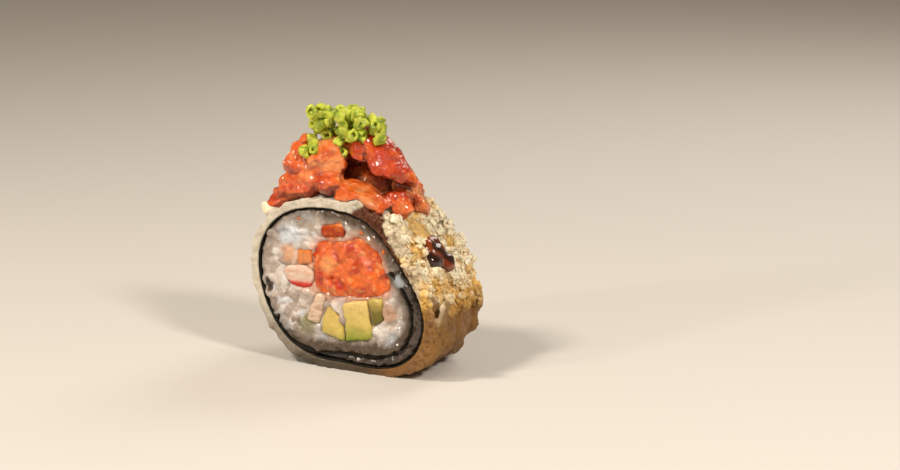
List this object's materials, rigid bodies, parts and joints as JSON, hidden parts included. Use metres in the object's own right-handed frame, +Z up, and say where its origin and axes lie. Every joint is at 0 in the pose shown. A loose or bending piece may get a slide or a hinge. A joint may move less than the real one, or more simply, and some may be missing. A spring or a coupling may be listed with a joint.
{
  "type": "fried sushi roll slice",
  "caption": "Fried sushi roll slice in a breadcrumb crust: rice and nori round fish, avocado and crab, with chopped raw fish and chives on top.",
  "frame": {"origin": "on the flat spot that the roll rests on, straight below the axis of the roll and midway between its two cut faces", "axes": "+Z up; the roll lies along Y, its shown cut face looks along -Y and its thick craggy flank along +X"},
  "size_m": [0.0544, 0.025, 0.0627],
  "materials": {
    "rice": "cooked and wet, half clear, with a soft gloss",
    "nori": "damp toasted seaweed sheet, near black with a green cast, satin",
    "crust": "fried batter and breadcrumb, dry and matt, cream to golden",
    "spicy_fish": "minced fish in chilli dressing, wet and glossy, orange red",
    "raw_fish": "chopped raw fish, wet and glossy, coral red with pale fat",
    "salmon": "cut salmon, moist, orange",
    "avocado": "cut ripe avocado, yellow turning green at the skin side, satin",
    "crab": "steamed crab stick, moist white with a red edge",
    "chive": "fresh cut chives, light green, damp",
    "sauce": "thick dark brown sweet soy sauce, very glossy"
  },
  "bodies": {
    "root": {"rice": "rice", "nori": "nori", "batter_crust": "crust", "fish_filling": "spicy_fish", "fish_topping": "raw_fish", "avocado_left": "avocado", "avocado_middle": "avocado", "avocado_right": "avocado", "salmon_block_top": "salmon", "salmon_block_left": "salmon", "crab_stick": "crab", "crab_shred": "crab"}
  },
  "joints": []
}
